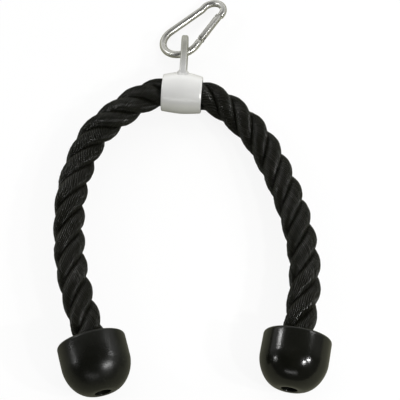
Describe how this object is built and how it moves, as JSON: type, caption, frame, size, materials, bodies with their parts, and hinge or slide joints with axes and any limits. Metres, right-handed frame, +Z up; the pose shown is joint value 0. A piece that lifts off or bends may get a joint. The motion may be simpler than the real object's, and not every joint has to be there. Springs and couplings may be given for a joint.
{
  "type": "triceps rope attachment",
  "caption": "Thick black rope bent to an arch through a steel sleeve with an eye plate, a snap hook in the eye and a rubber stopper on each rope end.",
  "frame": {"origin": "centre of the footprint of the sleeve, hook and stoppers, on the surface that the piece lies on", "axes": "+Z up from the surface, +Y from the stoppers towards the snap hook, +X to the right seen from above"},
  "size_m": [0.2697, 0.4464, 0.066],
  "materials": {
    "rope": "black laid synthetic rope",
    "sleeve": "satin plated steel",
    "plate": "satin plated steel",
    "weld": "plated weld bead",
    "hook": "bright plated steel",
    "gate": "bright plated steel",
    "pin": "plain steel",
    "stopper": "glossy black moulded rubber",
    "washer": "zinc plated steel",
    "screw": "zinc plated steel"
  },
  "bodies": {
    "sleeve_and_core": {"collar_sleeve": "sleeve", "eye_plate": "plate", "eye_weld_left": "weld", "eye_weld_right": "weld", "rope_core": "rope"},
    "snap_hook": {"carabiner_body": "hook", "gate_rivet": "pin"},
    "gate": {"carabiner_gate": "gate", "gate_latch_pin": "pin"},
    "left_leg": {"rope_left": "rope", "stopper_left": "stopper", "washer_left": "washer", "screw_left": "screw"},
    "right_leg": {"rope_right": "rope", "stopper_right": "stopper", "washer_right": "washer", "screw_right": "screw"}
  },
  "joints": [
    {"name": "hook_swing", "type": "hinge", "parent": "sleeve_and_core", "child": "snap_hook", "pos_m": [-0.01127, 0.15184, 0.0163], "axis": [0.9498, 0.258, 0.1771], "range_deg": [-130, 145]},
    {"name": "gate_opening", "type": "hinge", "parent": "snap_hook", "child": "gate", "pos_m": [0.00668, 0.16986, 0.01635], "axis": [-0.2397, 0.2361, 0.9417], "range_deg": [0, 30], "stiffness_Nm_per_rad": 0.05, "springref_deg": -20.05},
    {"name": "left_leg_flex", "type": "hinge", "parent": "sleeve_and_core", "child": "left_leg", "pos_m": [-0.07597, 0.07984, 0.02143], "axis": [0, 0, 1], "range_deg": [-40, 12]},
    {"name": "right_leg_flex", "type": "hinge", "parent": "sleeve_and_core", "child": "right_leg", "pos_m": [0.04584, 0.07205, 0.02136], "axis": [0, 0, 1], "range_deg": [-12, 40]}
  ]
}
